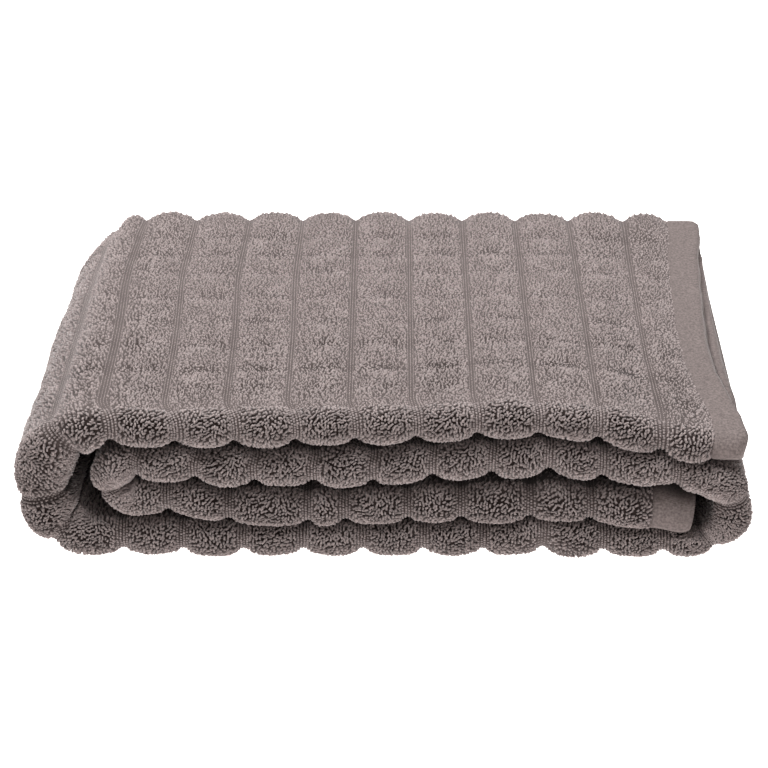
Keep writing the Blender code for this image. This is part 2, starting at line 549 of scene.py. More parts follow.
@dataclass(frozen=True)
class PileRelief:
    """How the pile's surface rises and falls over the cloth, with its lengths in metres."""

    dimple_reach: float = 0.0042
    dimple_share: float = 0.75
    dimple_change: float = 0.35
    dimple_wave: float = 0.043
    long_wave: float = 0.061
    long_rise: float = 0.40 * MM
    short_wave: float = 0.019
    short_rise: float = 0.22 * MM
    front_reach: float = 0.05
    swell_low: float = -0.55 * MM
    swell_high: float = 0.45 * MM
    back_rise: float = 1.5 * MM
    back_start: float = 0.070
    back_reach: float = 0.045
    back_end_x: float = -0.1340
    back_fade: float = 0.012
    groove_calm: float = 0.85


@dataclass(frozen=True)
class PileOpening:
    """Where the loops stand apart and by what share, and so how much painted shade their roots take, with its
    lengths in metres.
    """

    groove_edge: float = 2.2 * MM
    groove_fade: float = 5.0 * MM
    in_groove: float = 0.45
    patch_wave: float = 0.047
    row_reach: float = 0.0095
    flat_least: float = 0.17
    flat_patch: float = 0.22
    flat_side: float = 0.22
    side_start: float = 0.45
    side_fade: float = 0.40
    row_least: float = 0.48
    row_patch: float = 0.40
    front_least: float = 0.30
    front_more: float = 0.68
    front_low: float = -0.78
    front_fade: float = 0.66
    front_patch: float = 0.25
    bend_turn: float = 1.3
    turn_start: float = 0.26
    turn_fade: float = 0.44
    inner_bend_z: float = 0.0428
    inner_bend_reach: float = 0.026
    right_bend_z: float = 0.0480
    right_bend_reach: float = 0.016
    right_bend_share: float = 0.7
    close_share: float = 0.75
    inside: float = 0.95


class FoldedCloth:
    """The towel's cloth in its fold: turns a place on the cloth into a place in the room."""

    def __init__(self, sizes: ClothSizes, relief: PileRelief, opening: PileOpening) -> None:
        """Makes the roll and its ribs.

        Args:
            sizes: The cloth's sizes.
            relief: How the pile's surface rises and falls.
            opening: Where the loops stand apart.
        """
        self.sizes = sizes
        self.relief = relief
        self.opening = opening
        self.roll = Roll(sizes)
        self.ribs = Ribs(self.roll, sizes)
        self.top_end = self.roll.length_at("top", relief.back_end_x)
        self.inner_left = self.roll.length_at("inner left", opening.inner_bend_z)
        self.outer_right = self.roll.length_at("outer right", opening.right_bend_z)
        random = np.random.default_rng(SEED)
        self.swell = random.uniform(relief.swell_low, relief.swell_high, len(self.ribs.grooves))

    def hem_share(self, length: np.ndarray) -> np.ndarray:
        """Gives 1 on a hem, 0 on the terry, with a short step between.

        Args:
            length: The lengths along the cloth.

        Returns:
            The share of hem at each length.
        """
        step = self.sizes.hem_step
        top = 1.0 - ease((length - self.sizes.hem_width + step) / step)
        inner = ease((length - self.ribs.last) / step)
        return np.maximum(top, inner)

    def outline(self, part: np.ndarray, share: np.ndarray, length: np.ndarray, lift: np.ndarray) -> tuple:
        """Gives the place on the folded cloth's outline.

        Args:
            part: The number of the outline's stretch.
            share: How far along that stretch, from 0 to 1.
            length: The lengths along the cloth.
            lift: How far out from the surface.

        Returns:
            y across the stack and h through its layers.
        """
        size = self.sizes
        groove = self.ribs.depth(length)
        hem = self.hem_share(length)
        from_fold = np.minimum(share, 1.0 - share) / size.flat_groove_fade
        flat = (part == Part.OUTER_PLY_OUT.value) * ease(from_fold)
        groove = groove * (1.0 + (size.flat_groove_share - 1.0) * flat)
        terry = size.thick - 2.0 * size.pile_sunk
        terry = terry + (size.groove_thick - terry) * groove
        half = (terry + (size.hem_thick - terry) * hem) / 2.0
        pull = groove + (1.0 - groove) * hem
        ply = size.ply_step - size.groove_pull * pull
        end = self.roll.total - length
        ply = ply + size.inner_hem_spread * (1.0 - ease((end - size.hem_width) / size.inner_hem_fade))
        inset = size.groove_inset * (groove + (size.hem_inset_share - groove) * hem)
        front = -size.depth / 2.0 + size.stack_half + inset
        back = size.depth / 2.0 - (size.ply_step + size.thick) / 2.0 - inset
        free_back = np.full_like(length, size.depth / 2.0 - size.selvedge_back)
        free_front = np.full_like(length, -size.depth / 2.0 + size.selvedge_front)
        up = np.ones_like(length)
        runs = {
            Part.INNER_PLY_OUT: (free_back, front, -ply - half, -up),
            Part.OUTER_PLY_OUT: (front, back, ply + half, up),
            Part.MIDDLE_PLY_UNDER: (back, free_front, -half, -up),
            Part.MIDDLE_PLY_OVER: (free_front, back, half, up),
            Part.OUTER_PLY_IN: (back, front, ply - half, -up),
            Part.INNER_PLY_IN: (front, free_back, -ply + half, up),
        }
        arcs = {
            Part.FRONT_FOLD: (front, 0.0 * up, ply + half, 270.0, 90.0, 1.0),
            Part.BACK_FOLD: (back, ply / 2.0, ply / 2.0 + half, 90.0, -90.0, 1.0),
            Part.FRONT_SELVEDGE: (free_front, 0.0 * up, half, 270.0, 90.0, 1.0),
            Part.BACK_FOLD_INSIDE: (back, ply / 2.0, ply / 2.0 - half, -90.0, 90.0, -1.0),
            Part.FRONT_FOLD_INSIDE: (front, 0.0 * up, ply - half, 90.0, 270.0, -1.0),
            Part.BACK_SELVEDGE: (free_back, -ply, half, 90.0, -90.0, 1.0),
        }
        y = np.zeros_like(length)
        h = np.zeros_like(length)
        for name, (start, end, level, way) in runs.items():
            here = part == name.value
            y[here] = (start + (end - start) * share)[here]
            h[here] = (level + way * lift)[here]
        for name, (middle_y, middle_h, radius, start, end, way) in arcs.items():
            here = part == name.value
            turn = np.radians(start + (end - start) * share)
            y[here] = (middle_y + (radius + way * lift) * np.cos(turn))[here]
            h[here] = (middle_h + (radius + way * lift) * np.sin(turn))[here]
        return y, h

    def unevenness(self, length: np.ndarray, y: np.ndarray) -> np.ndarray:
        """Gives how far the pile stands up or lies down, in metres.

        Args:
            length: The lengths along the cloth.
            y: The places across the stack.

        Returns:
            Small heights, above or below the even surface.
        """
        relief = self.relief
        rib, _, _ = self.ribs.near(length)
        groove = self.ribs.depth(length)
        dimple = np.zeros_like(y)
        for place, deep, _ in DIMPLE_ROWS:
            dimple = dimple + deep * MM * bump(y - place, relief.dimple_reach)
        change = waves(length, y, relief.dimple_wave, phase=0.4)
        dimple = dimple * (relief.dimple_share + relief.dimple_change * change)
        slow = relief.long_rise * waves(length, y, relief.long_wave, phase=1.1)
        slow = slow + relief.short_rise * waves(length, y, relief.short_wave, phase=2.3)
        front = 1.0 - ease((y + 0.5 * self.sizes.depth) / relief.front_reach)
        back = ease((y - relief.back_start) / relief.back_reach)
        back = relief.back_rise * back * ease((self.top_end - length) / relief.back_fade)
        raised = slow - dimple + self.swell[rib] * front + back
        return raised * (1.0 - relief.groove_calm * groove)

    def openness(self, part: np.ndarray, length: np.ndarray, y: np.ndarray, out: np.ndarray) -> np.ndarray:
        """Gives how far the loops stand apart, from 0 where they lie close to 1 where their roots show, and
        so how much painted shade their roots take.

        Args:
            part: The number of the outline's stretch.
            length: The lengths along the cloth.
            y: The places across the stack.
            out: The way that the surface faces, as rows of x, y and z.

        Returns:
            The share of opening at each place.
        """
        tune = self.opening
        _, gap, _ = self.ribs.near(length)
        on_rib = ease((np.abs(gap) - tune.groove_edge) / tune.groove_fade)
        patch = 0.5 + 0.5 * waves(length, y, tune.patch_wave, phase=0.7)
        row = np.zeros_like(y)
        for place, _, opens in DIMPLE_ROWS:
            row = np.maximum(row, opens * bump(y - place, tune.row_reach))
        # Painted shade: the loops on the sides of the stack stand more open, so their dark roots shade those
        # sides
        on_side = ease((np.abs(out[..., 0]) - tune.side_start) / tune.side_fade)
        on_flat = tune.flat_least + tune.flat_patch * patch + tune.flat_side * on_side
        on_flat = on_flat + row * (tune.row_least + tune.row_patch * patch)
        # The pile is brushed down close along the lower edge of each fold. Higher up the loops open to dark
        # roots, partly real open pile and partly painted shade under the layer above
        brushed_up = ease((out[..., 2] - tune.front_low) / tune.front_fade)
        on_front = tune.front_least + tune.front_more * brushed_up * (1.0 - tune.front_patch * (1.0 - patch))
        # Painted shade: front faces turned to the right, as on the left bend's inner side, open to dark roots
        # where they lie in shade
        turned_in = np.where(part == Part.FRONT_FOLD.value, tune.bend_turn * out[..., 0], -1.0)
        toward = np.maximum(-out[..., 1], turned_in)
        opened = on_flat + (on_front - on_flat) * ease((toward - tune.turn_start) / tune.turn_fade)
        # It also lies close round the inner left bend and down the outer right one
        close = bump(length - self.inner_left, tune.inner_bend_reach)
        close = close + tune.right_bend_share * bump(length - self.outer_right, tune.right_bend_reach)
        opened = opened * (tune.in_groove + (1.0 - tune.in_groove) * on_rib)
        opened = opened * (1.0 - tune.close_share * close)
        # Inside the roll the pile stands open with dark roots: painted shade in the roll's hollow
        return np.where(part == Part.INNER_PLY_OUT.value, tune.inside, opened)

    def points(self, part: np.ndarray, share: np.ndarray, length: np.ndarray, lift: np.ndarray) -> np.ndarray:
        """Gives the place in the room of places on the folded cloth.

        Args:
            part: The number of the outline's stretch.
            share: How far along that stretch.
            length: The lengths along the cloth.
            lift: How far out from the surface.

        Returns:
            Rows of x, y and z.
        """
        size = self.sizes
        part, share, length, lift = np.broadcast_arrays(part, share, length, np.asarray(lift, dtype=float))
        plain_y, _ = self.outline(part, share, length, lift)
        hem = self.hem_share(length)
        outside = np.isin(part, OUTSIDE)
        raised = lift + self.unevenness(length, plain_y) * (1.0 - hem) * outside
        y, h = self.outline(part, share, length, raised)
        x, z, side_x, side_z, press = self.roll.at(length)
        h = np.where(h < 0.0, h * press, h)
        at_edge, at_seam = (read_table([(row[0], row[kind]) for row in HEM_BOW], y) for kind in (1, 2))
        bow = at_edge + (at_seam - at_edge) * np.clip(length / size.hem_width, 0.0, 1.0)
        bow = bow * (1.0 - ease((length - size.hem_width) / size.hem_bow_reach))
        under = np.clip(1.0 - h / size.ply_step, 0.0, size.ply_reach_most)
        reach = read_table(PLY_REACH, y) * under * (1.0 - ease(length / size.ply_reach_fade))
        corner = np.clip(1.0 - length / size.hem_corner, 0.0, 1.0)
        at_back, at_front = (
            ease((side * y - 0.5 * size.depth + start) / fade)
            for side, (start, fade) in ((1.0, size.hem_corner_back), (-1.0, size.hem_corner_front))
        )
        drawn = size.hem_corner * rounded(corner)
        y = y - drawn * at_back + size.hem_corner_front_share * drawn * at_front
        end = np.clip(1.0 - (self.roll.total - length) / size.inner_hem_corner, 0.0, 1.0)
        h = np.where(h > 0.0, h * (1.0 - size.inner_hem_lowered * rounded(end)), h)
        tilt = size.inner_hem_tilt * (1.0 - ease((self.roll.total - length) / size.inner_hem_tilt_reach))
        x = x + side_x * h - bow + reach - tilt * h
        z = z + side_z * h
        twist = read_table(FRONT_TWIST, x) * ease((size.twist_front - y) / size.twist_depth)
        x = x + twist * ease((z - size.twist_low) / size.twist_rise)
        x = x + read_table(LEFT_DRAWN_IN, y) * ease((size.left_start - x) / size.left_reach)
        bowed = size.rib_bow * bump(y - size.rib_bow_middle, size.rib_bow_reach)
        bowed = bowed * ease((z - size.twist_low) / size.twist_rise)
        bowed = bowed * ease((size.rib_bow_right - x) / size.rib_bow_grow)
        x = x - bowed * ease((x - size.rib_bow_left) / size.rib_bow_fade)
        front = 0.5 - y / size.depth
        z = z + front_lift(x, z) * front
        z = np.maximum(z, 0.0)
        return np.stack((x + size.centring, y, z), axis=-1)


def add_mesh(
    name: str, corners: np.ndarray, faces: list[np.ndarray], smooth: bool = True
) -> bpy.types.Object:
    """Makes a mesh object from arrays.

    Args:
        name: The object's name.
        corners: Rows of x, y and z.
        faces: Arrays of corner numbers, one array for each number of sides.
        smooth: Whether the faces are shaded smooth.

    Returns:
        The object, linked to the scene.
    """
    mesh = bpy.data.meshes.new(name)
    mesh.vertices.add(len(corners))
    mesh.vertices.foreach_set("co", corners.astype(np.float32).ravel())
    corner_numbers = np.concatenate([group.ravel() for group in faces])
    sides = np.concatenate([np.full(len(group), group.shape[1]) for group in faces])
    starts = np.concatenate(([0], np.cumsum(sides)[:-1]))
    mesh.loops.add(len(corner_numbers))
    mesh.loops.foreach_set("vertex_index", corner_numbers.astype(np.int32))
    mesh.polygons.add(len(sides))
    mesh.polygons.foreach_set("loop_start", starts.astype(np.int32))
    mesh.polygons.foreach_set("use_smooth", np.full(len(sides), smooth))
    mesh.update(calc_edges=True)
    made = bpy.data.objects.new(name, mesh)
    bpy.context.scene.collection.objects.link(made)
    return made


def add_values(piece: bpy.types.Object, name: str, values: np.ndarray) -> None:
    """Keeps one number for each corner of a mesh, for its material to read.

    Args:
        piece: The mesh object.
        name: The name that the material reads.
        values: One number for each corner.
    """
    attribute = piece.data.attributes.new(name, "FLOAT", "POINT")
    attribute.data.foreach_set("value", values.astype(np.float32).ravel())


def add_node(tree: bpy.types.NodeTree, kind: str, settings: dict, links: dict) -> bpy.types.Node:
    """Adds a node with its settings and links.

    Args:
        tree: The material's node tree.
        kind: The node's type name.
        settings: Values by attribute, or by input socket where no attribute has that name.
        links: Output sockets by the input socket that they feed.

    Returns:
        The node.
    """
    node = tree.nodes.new(kind)
    for key, value in settings.items():
        if isinstance(key, str) and hasattr(node, key):
            setattr(node, key, value)
        else:
            node.inputs[key].default_value = value
    for key, socket in links.items():
        tree.links.new(socket, node.inputs[key])
    return node


def start_material(name: str, sockets: dict) -> tuple[bpy.types.Material, bpy.types.NodeTree, bpy.types.Node]:
    """Makes a material and sets its shader's own sockets.

    Args:
        name: The material's name.
        sockets: Values by the shader's input socket.

    Returns:
        The material, its node tree and its shader.
    """
    material = bpy.data.materials.new(name)
    material.use_nodes = True
    shader = material.node_tree.nodes["Principled BSDF"]
    for socket, value in sockets.items():
        shader.inputs[socket].default_value = value
    return material, material.node_tree, shader


@dataclass(frozen=True)
class TerryCotton:
    """Ring-spun cotton terry, piece-dyed grey-brown: matt, with a soft pale edge of loose fibre."""

    name: str = "cotton_terry"
    tip: str = "8E8381"
    # The roots' colour is painted shade, where light is lost between the loops
    root: str = "201512"
    roughness: float = 0.92
    ior: float = 1.46
    specular: float = 0.2
    sheen: float = 0.35
    sheen_roughness: float = 0.45
    fibre_mm: float = 0.35
    fibre_deep_mm: float = 0.3
    fibre_strength: float = 0.5
    speck_mm: float = 1.1
    speck_change: float = 0.70
    mottle_mm: float = 14.0
    mottle_change: float = 0.16
    loop_least: float = 0.85
    loop_change: float = 0.30

    def make(self) -> bpy.types.Material:
        """Makes the material.

        Returns:
            The material, which reads from the mesh the pile's painted root shade, set by height, and its
            tone.
        """
        sockets = {
            "Roughness": self.roughness,
            "IOR": self.ior,
            "Specular IOR Level": self.specular,
            "Sheen Weight": self.sheen,
            "Sheen Roughness": self.sheen_roughness,
        }
        material, tree, shader = start_material(self.name, sockets)
        place = add_node(tree, "ShaderNodeTexCoord", {}, {}).outputs["Object"]
        height, tone = (
            add_node(tree, "ShaderNodeAttribute", {"attribute_name": name}, {}).outputs["Fac"]
            for name in ("pile_root_shade", "loop_tone")
        )
        # Light is lost between the loops, so the cloth is darker at their roots
        colours = {"data_type": "RGBA", 6: linear(self.root), 7: linear(self.tip)}
        depth = add_node(tree, "ShaderNodeMix", colours, {0: height}).outputs[2]
        # Each loop takes the dye a little differently, and so does each patch of about half a rib's width
        clouds = {"Scale": 1.0 / (self.mottle_mm * MM), "Detail": 3.0}
        mottle = add_node(tree, "ShaderNodeTexNoise", clouds, {"Vector": place}).outputs["Fac"]
        by_loop = {"operation": "MULTIPLY_ADD", 1: self.loop_change, 2: self.loop_least}
        shade = add_node(tree, "ShaderNodeMath", by_loop, {0: tone}).outputs[0]
        by_mottle = {"operation": "MULTIPLY_ADD", 1: self.mottle_change, 2: -self.mottle_change / 2.0}
        cloudy = add_node(tree, "ShaderNodeMath", by_mottle, {0: mottle}).outputs[0]
        value = add_node(tree, "ShaderNodeMath", {"operation": "ADD"}, {0: shade, 1: cloudy}).outputs[0]
        # The twist of the yarn turns light and shaded fibres up by turns. A real turn is about 0.8 mm long,
        # and it is drawn at 1.1 mm so that it shows
        yarn = {"Scale": 1.0 / (self.speck_mm * MM), "Detail": 2.0}
        twist = add_node(tree, "ShaderNodeTexNoise", yarn, {"Vector": place}).outputs["Fac"]
        by_twist = {"operation": "MULTIPLY_ADD", 1: self.speck_change, 2: -self.speck_change / 2.0}
        specks = add_node(tree, "ShaderNodeMath", by_twist, {0: twist}).outputs[0]
        value = add_node(tree, "ShaderNodeMath", {"operation": "ADD"}, {0: value, 1: specks}).outputs[0]
        toned = add_node(tree, "ShaderNodeHueSaturation", {}, {"Value": value, "Color": depth})
        tree.links.new(toned.outputs["Color"], shader.inputs["Base Color"])
        # Twisted fibres give each loop a fine uneven surface. Real ones are about 0.02 mm thick, and they
        # are drawn at 0.35 mm so that they show
        fibres = {"Scale": 1.0 / (self.fibre_mm * MM), "Detail": 2.0}
        fibre = add_node(tree, "ShaderNodeTexNoise", fibres, {"Vector": place}).outputs["Fac"]
        relief = {"Strength": self.fibre_strength, "Distance": self.fibre_deep_mm * MM}
        raised = add_node(tree, "ShaderNodeBump", relief, {"Height": fibre})
        tree.links.new(raised.outputs["Normal"], shader.inputs["Normal"])
        return material


@dataclass(frozen=True)
class WovenHem:
    """Plain-woven cotton tape, flat and close: a smooth matt band with a fine rib of threads."""

    name: str = "cotton_woven_hem"
    colour: str = "635A58"
    roughness: float = 0.85
    ior: float = 1.46
    specular: float = 0.2
    sheen: float = 0.1
    thread_mm: float = 0.8
    thread_deep_mm: float = 0.2
    thread_strength: float = 0.35
    thread_waver: float = 1.5
    fuzz_mm: float = 1.1
    fuzz_change: float = 1.70
    fuzz_least: float = 0.15

    def make(self) -> bpy.types.Material:
        """Makes the material.

        Returns:
            The material.
        """
        sockets = {
            "Base Color": linear(self.colour),
            "Roughness": self.roughness,
            "IOR": self.ior,
            "Specular IOR Level": self.specular,
            "Sheen Weight": self.sheen,
        }
        material, tree, shader = start_material(self.name, sockets)
        place = add_node(tree, "ShaderNodeTexCoord", {}, {}).outputs["Object"]
        # Real threads are 0.4 mm apart, drawn at twice that so that they show
        weave = {
            "wave_type": "BANDS",
            "bands_direction": "Y",
            "Scale": WAVE_BAND / (self.thread_mm * MM),
            "Distortion": self.thread_waver,
        }
        threads = add_node(tree, "ShaderNodeTexWave", weave, {"Vector": place}).outputs["Fac"]
        relief = {"Strength": self.thread_strength, "Distance": self.thread_deep_mm * MM}
        raised = add_node(tree, "ShaderNodeBump", relief, {"Height": threads})
        tree.links.new(raised.outputs["Normal"], shader.inputs["Normal"])
        # Short fibres stand off the tape, so its tone is soft and uneven. Their real tufts are about 0.3 mm
        # wide, and they are drawn at 1.1 mm so that they show
        fibres = {"Scale": 1.0 / (self.fuzz_mm * MM), "Detail": 4.0}
        fuzz = add_node(tree, "ShaderNodeTexNoise", fibres, {"Vector": place}).outputs["Fac"]
        by_fuzz = {"operation": "MULTIPLY_ADD", 1: self.fuzz_change, 2: self.fuzz_least}
        value = add_node(tree, "ShaderNodeMath", by_fuzz, {0: fuzz}).outputs[0]
        colour = {"Color": linear(self.colour)}
        toned = add_node(tree, "ShaderNodeHueSaturation", colour, {"Value": value}).outputs["Color"]
        tree.links.new(toned, shader.inputs["Base Color"])
        return material


@dataclass(frozen=True)
class PaleBoard:
    """A pale matt studio table with a painted glow, though it is no lamp: shadows on it stay faint, and it
    lights the towel from below.
    """

    name: str = "pale_board_painted_glow"
    colour: str = "A0A0A0"
    glow_colour: str = "FFF9F7"
    glow: float = 1.90
    roughness: float = 0.9

    def make(self) -> bpy.types.Material:
        """Makes the material.

        Returns:
            The material.
        """
        sockets = {
            "Base Color": linear(self.colour),
            "Roughness": self.roughness,
            # Painted light: the board glows and lights the towel like a lamp
            "Emission Color": linear(self.glow_colour),
            "Emission Strength": self.glow,
        }
        return start_material(self.name, sockets)[0]


@dataclass
class GroundCloth:
    """The towel's ground weave in its fold: one closed sheet with ribs, grooves and hems."""

    cloth: FoldedCloth
    step: float = 2.4 * MM
    hem_edge: float = 0.9 * MM
    least_step: float = 0.35 * MM
    nudge: float = 0.5 * MM
    tone: float = 0.5

    # How many steps each stretch of the outline has
    counts: ClassVar[dict[Part, int]] = {
        Part.INNER_PLY_OUT: 9,
        Part.FRONT_FOLD: 14,
        Part.OUTER_PLY_OUT: 30,
        Part.BACK_FOLD: 7,
        Part.MIDDLE_PLY_UNDER: 3,
        Part.FRONT_SELVEDGE: 1,
        Part.MIDDLE_PLY_OVER: 3,
        Part.BACK_FOLD_INSIDE: 7,
        Part.OUTER_PLY_IN: 30,
        Part.FRONT_FOLD_INSIDE: 14,
        Part.INNER_PLY_IN: 9,
        Part.BACK_SELVEDGE: 1,
    }

    def build(self, terry: bpy.types.Material, hem: bpy.types.Material) -> bpy.types.Object:
        """Builds the sheet and dresses it.

        Args:
            terry: The finish between the hems.
            hem: The finish of the hems.

        Returns:
            The sheet.
        """
        ribs = self.cloth.ribs
        total = self.cloth.roll.total
        places = np.arange(0.0, total, self.step)
        extra = [ribs.first - self.hem_edge, ribs.last + self.hem_edge, total]
        places = np.unique(np.concatenate((places, ribs.grooves, extra)))
        keep = np.concatenate(([True], np.diff(places) > self.least_step))
        keep[-1] = True
        places = places[keep]
        part = np.concatenate([np.full(count, name.value) for name, count in self.counts.items()])
        share = np.concatenate([np.arange(count) / count for count in self.counts.values()])
        grid = self.cloth.points(part[None, :], share[None, :], places[:, None], 0.0)
        rows, columns = grid.shape[:2]
        numbers = np.arange(rows * columns).reshape(rows, columns)
        after = np.roll(numbers, -1, axis=1)
        quads = np.stack((numbers[:-1], numbers[1:], after[1:], after[:-1]), axis=-1).reshape(-1, 4)
        # The ends close between the outside and the inside of the cloth, point against point
        one = np.arange(columns // 2)
        other = columns - 1 - np.arange(columns // 2)
        strip = np.stack((one[:-1], one[1:], other[1:], other[:-1]), axis=-1)
        caps = np.concatenate((numbers[0][strip], numbers[-1][strip][:, ::-1]))
        piece = add_mesh("ground_cloth", grid.reshape(-1, 3), [quads, caps])
        out = unit(self.cloth.points(part[None, :], share[None, :], places[:, None], self.nudge) - grid)
        lengths = np.broadcast_to(places[:, None], (rows, columns))
        opened = self.cloth.openness(part[None, :], lengths, grid[..., 1], out)
        # Painted shade: the ground takes the loops' root shade, darker where they stand open, and darkest on
        # the stretches inside the roll
        seen = np.isin(part, OUTSIDE)
        add_values(piece, "pile_root_shade", ROOT_SHUT * (1.0 - opened) * seen[None, :])
        add_values(piece, "loop_tone", np.full(rows * columns, self.tone))
        piece.data.materials.append(terry)
        piece.data.materials.append(hem)
        middle = (places[:-1] + places[1:]) / 2.0
        is_hem = (middle < ribs.first) | (middle > ribs.last)
        index = np.concatenate((np.repeat(is_hem, columns), np.full(len(caps), True))).astype(np.int32)
        piece.data.polygons.foreach_set("material_index", index)
        return piece


@dataclass(frozen=True)
class Loop:
    """One kind of terry loop: its form, spacing and size in metres."""

    form: LoopForm
    apart_along: float
    apart_across: float
    height: float
    wide: float
    long: float
    lean: float
    wander: float

    @classmethod
    def in_mm(cls, form: LoopForm, *numbers: float) -> "Loop":
        """Makes a kind of loop from its six sizes in millimetres and its share of wander."""
        return cls(form, *(number * MM for number in numbers[:-1]), numbers[-1])


@dataclass(frozen=True)
class PileField:
    """A stretch of the cloth that carries pile, and the loops on its ribs and in its grooves."""

    name: str
    part: Part
    start: float
    end: float
    near: float
    far: float
    on_ribs: Loop
    in_grooves: Loop
    groove_half: float


@dataclass
class TerryPile:
    """The terry loops: short and in columns in the grooves, longer and loose on the ribs.

    Real yarn is about 0.5 mm thick. The loops are drawn two to four times as wide, so that they show.
    """

    cloth: FoldedCloth
    root: float = 0.7 * MM
    nudge: float = 0.4 * MM

    # The way that loose loops lie, in radians from the way of the roll: on the flat, elsewhere, and its swirl
    flat_slant: float = 2.09
    fold_slant: float = 1.05
    swirl: float = 0.9
    swirl_wave: float = 0.023
    slant_chance: float = 0.55
    turn_chance: float = 0.10
    tip_chance: float = 0.6

    # How loose the loops are where they lie close, and how much looser they get as they open
    loose_least: float = 0.25
    loose_more: float = 1.3

    # Shares of a loop's size: least or most, change as it opens, and the bounds of chance
    tall: tuple[float, float, float, float] = (0.72, 0.36, 0.8, 1.15)
    wide: tuple[float, float, float, float] = (1.18, -0.24, 0.85, 1.15)
    long: tuple[float, float] = (0.75, 1.2)
    lean: tuple[float, float] = (0.7, 0.35)

    # How fast the painted shade on a loop fades from its root to its tip
    root_fade: float = 1.6

    @staticmethod
    def _template(form: LoopForm) -> tuple[np.ndarray, np.ndarray, np.ndarray]:
        """Gives a loop's shape, in shares of its length, width and height.

        Args:
            form: How much of the loop is modelled.

        Returns:
            Its corners, its four-sided faces and its three-sided faces.
        """
        if form is LoopForm.ARCH:
            corners = [(-0.40, -0.38, 0.0), (0.40, -0.38, 0.0), (0.40, 0.38, 0.0), (-0.40, 0.38, 0.0)]
            corners += [(-0.5, -0.5, 0.66), (0.5, -0.5, 0.66), (0.5, 0.5, 0.66), (-0.5, 0.5, 0.66)]
            corners += [(-0.27, 0.0, 1.0), (0.27, 0.0, 1.0)]
            quads = [(0, 1, 5, 4), (1, 2, 6, 5), (2, 3, 7, 6), (3, 0, 4, 7), (4, 5, 9, 8), (6, 7, 8, 9)]
            triangles = [(5, 6, 9), (7, 4, 8)]
        else:
            corners = [(-0.5, -0.5, 0.0), (0.5, -0.5, 0.0), (0.5, 0.5, 0.0), (-0.5, 0.5, 0.0)]
            corners += [(-0.2, 0.0, 1.0), (0.2, 0.0, 1.0)]
            quads = [(0, 1, 5, 4), (2, 3, 4, 5)]
            triangles = [(1, 2, 5), (3, 0, 4)]
        return np.array(corners), np.array(quads), np.array(triangles)

    def _stretch(self, part: Part) -> float:
        """Gives about how long a stretch of the outline is.

        Args:
            part: The stretch.

        Returns:
            Its length in metres.
        """
        size = self.cloth.sizes
        if part is Part.FRONT_FOLD:
            return math.pi * size.stack_half
        if part is Part.BACK_FOLD:
            return math.pi * (size.ply_step + size.thick) / 2.0
        if part is Part.BACK_SELVEDGE:
            return math.pi * size.thick / 2.0
        return size.depth - 2.0 * size.stack_half

    def _places(self, area: PileField, loop: Loop, grooves: bool, random: np.random.Generator) -> tuple:
        """Scatters loops over the ribs or the grooves of a stretch.

        Args:
            area: The stretch.
            loop: The kind of loop.
            grooves: True for the grooves, False for the ribs.
            random: The source of chance.

        Returns:
            The length along the cloth and the share of the stretch, for each loop.
        """
        ribs = self.cloth.ribs
        half = area.groove_half
        lines = []
        for before, after in zip(ribs.grooves, ribs.grooves[1:]):
            # The pile goes right up to a hem
            start = before + (0.0 if before == ribs.first else half)
            end = after - (0.0 if after == ribs.last else half)
            if not grooves:
                count = max(int(round((end - start) / loop.apart_along)), 1)
                lines.append(start + (end - start) * (np.arange(count) + 0.5) / count)
            elif after != ribs.last:
                count = int(2.0 * half / loop.apart_along + 0.5)
                lines.append(after + ((np.arange(count) + 0.5) / count * 2.0 - 1.0) * half)
        columns = np.concatenate(lines)
        columns = columns[(columns > area.start) & (columns < area.end)]
        rows = max(int(round(self._stretch(area.part) * (area.far - area.near) / loop.apart_across)), 1)
        step = (area.far - area.near) / rows
        length = np.repeat(columns, rows)
        share = np.tile(area.near + (np.arange(rows) + 0.5) * step, len(columns))
        # Every other column is set on by half a step
        share = share + np.repeat((np.arange(len(columns)) % 2) * 0.5 - 0.25, rows) * step
        count = len(length)
        length = length + random.uniform(-0.5, 0.5, count) * loop.wander * loop.apart_along
        share = share + random.uniform(-0.5, 0.5, count) * loop.wander * step
        return length, np.clip(share, area.near, area.far)

    def _loops(self, area: PileField, loop: Loop, grooves: bool, random: np.random.Generator) -> tuple:
        """Shapes the loops of the ribs or the grooves of a stretch.

        Args:
            area: The stretch.
            loop: The kind of loop.
            grooves: True for the grooves, False for the ribs.
            random: The source of chance.

        Returns:
            The corners, the four-sided faces, the three-sided faces, and the painted root shade and tone of
            each corner.
        """
        length, share = self._places(area, loop, grooves, random)
        count = len(length)
        part = np.full(count, area.part.value)
        base = self.cloth.points(part, share, length, -self.root)
        out = unit(self.cloth.points(part, share, length, self.nudge) - base)
        along = self.cloth.points(part, share, length + self.nudge, -self.root) - base
        along = unit(along - out * np.sum(along * out, axis=1)[:, None])
        across = np.cross(out, along)
        opened = self.cloth.openness(part, length, base[:, 1], out)
        place = share * self._stretch(area.part)
        slant = self.flat_slant if area.part is Part.OUTER_PLY_OUT else self.fold_slant
        flow = slant + self.swirl * waves(length, place, self.swirl_wave, 0.9 + area.part.value)
        flow = flow + random.normal(0.0, self.slant_chance, count)
